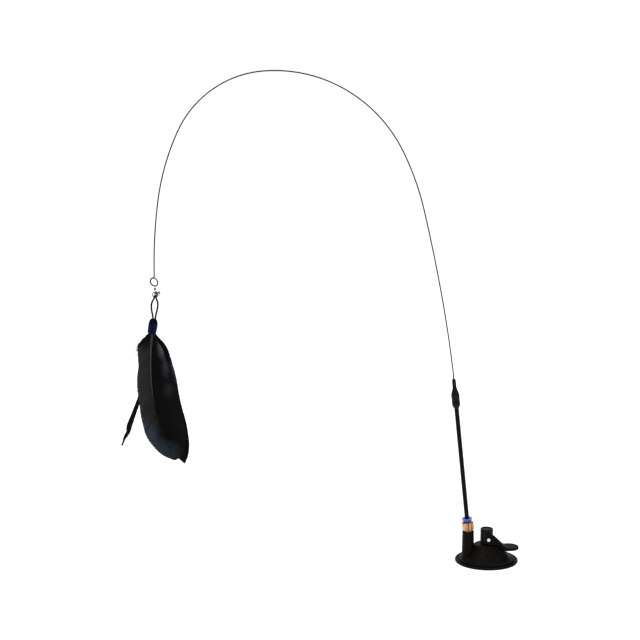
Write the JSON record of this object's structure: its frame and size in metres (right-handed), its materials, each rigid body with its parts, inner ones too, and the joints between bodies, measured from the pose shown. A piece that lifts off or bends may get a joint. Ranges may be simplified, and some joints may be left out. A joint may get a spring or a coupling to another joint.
{
  "type": "suction cup cat teaser",
  "caption": "Lever-locked suction cup with a push-in socket for a short rod, a sprung wire arch, and a swivelling feather lure with a small bell.",
  "frame": {"origin": "centre of the suction cup's sealing face, on the surface that it holds to", "axes": "+Z away from that surface, +X along the closed lever towards its paddle, and the rod's post and the wire arch towards -X"},
  "size_m": [0.3528, 0.056, 0.4362],
  "materials": {
    "cup_rubber": "satin",
    "black_plastic": "fine matte",
    "lever_plastic": "satin",
    "pin_steel": "bright",
    "fitting_brass": "polished",
    "collar_plastic": "gloss",
    "claw_steel": "bright",
    "seal_rubber": "satin",
    "rod_resin": "gloss",
    "shrink_sleeve": "satin",
    "spring_steel": "dark",
    "swivel_steel": "bright",
    "barrel_metal": "dark",
    "bell_metal": "satin",
    "loop_cord": "waxed cord",
    "binding_thread": "wound thread",
    "feather": "feather"
  },
  "bodies": {
    "base": {"suction_membrane": "cup_rubber", "base_housing": "black_plastic", "fitting_body": "fitting_brass", "tube_seal": "seal_rubber", "claw_retainer": "fitting_brass"},
    "stud": {"pull_stud": "black_plastic", "lever_pin": "pin_steel"},
    "lever": {"cam_lever": "lever_plastic"},
    "collar": {"release_collar": "collar_plastic"},
    "claw": {"grip_claw": "claw_steel"},
    "wand": {"rod": "rod_resin", "wire_sleeve": "shrink_sleeve", "spring_wire": "spring_steel"},
    "swivel": {"swivel_upper_eye": "swivel_steel", "swivel_barrel": "barrel_metal"},
    "lower_eye": {"swivel_lower_eye": "swivel_steel"},
    "ring": {"jump_ring": "swivel_steel"},
    "bell": {"bell_upper_shell": "bell_metal", "bell_lower_shell": "bell_metal", "bell_lug": "bell_metal"},
    "pellet": {"bell_pellet": "bell_metal"},
    "lure": {"cord_loop": "loop_cord", "feather_binding": "binding_thread", "feather_front": "feather", "feather_back": "feather", "feather_side": "feather", "down_tuft": "feather"}
  },
  "joints": [
    {"name": "lever_hinge", "type": "hinge", "parent": "stud", "child": "lever", "pos_m": [0, 0, 0.0217], "axis": [0, -1, 0], "range_deg": [0, 90]},
    {"name": "stud_slide", "type": "slide", "parent": "base", "child": "stud", "axis": [0, 0, -1], "range_m": [0, 0.00241], "deforming": ["suction_membrane"]},
    {"name": "collar_push", "type": "slide", "parent": "base", "child": "collar", "axis": [0.108, 0, -0.9942], "range_m": [0, 0.0009], "stiffness_N_per_m": 500},
    {"name": "claw_spin", "type": "hinge", "parent": "base", "child": "claw", "pos_m": [-0.017, 0, 0.0288], "axis": [-0.108, 0, 0.9942], "continuous": true},
    {"name": "rod_pull", "type": "slide", "parent": "claw", "child": "wand", "axis": [-0.108, 0, 0.9942], "range_m": [0, 0.022]},
    {"name": "swivel_swing", "type": "hinge", "parent": "wand", "child": "swivel", "pos_m": [-0.29148, 0.00053, 0.25559], "axis": [1, 0, 0], "range_deg": [-35, 35]},
    {"name": "swivel_turn", "type": "hinge", "parent": "swivel", "child": "lower_eye", "pos_m": [-0.29148, 0.00053, 0.252], "axis": [0, 0, 1], "continuous": true},
    {"name": "ring_swing", "type": "hinge", "parent": "lower_eye", "child": "ring", "pos_m": [-0.29148, 0.00021, 0.24977], "axis": [0, 1, 0], "range_deg": [-4, 30]},
    {"name": "bell_swing", "type": "hinge", "parent": "lower_eye", "child": "bell", "pos_m": [-0.29148, 0.00143, 0.25024], "axis": [0, 0.575, 0.8182], "range_deg": [-15, 60]},
    {"name": "pellet_rattle", "type": "slide", "parent": "bell", "child": "pellet", "axis": [0, 0, 1], "range_m": [0, 0.0029]},
    {"name": "lure_swing", "type": "hinge", "parent": "ring", "child": "lure", "pos_m": [-0.29148, 0.00021, 0.24606], "axis": [1, 0, 0], "range_deg": [-35, 8]}
  ],
  "couplings": [
    {"joint": "stud_slide", "follows": "lever_hinge", "m_per_rad": 0.0015279}
  ]
}
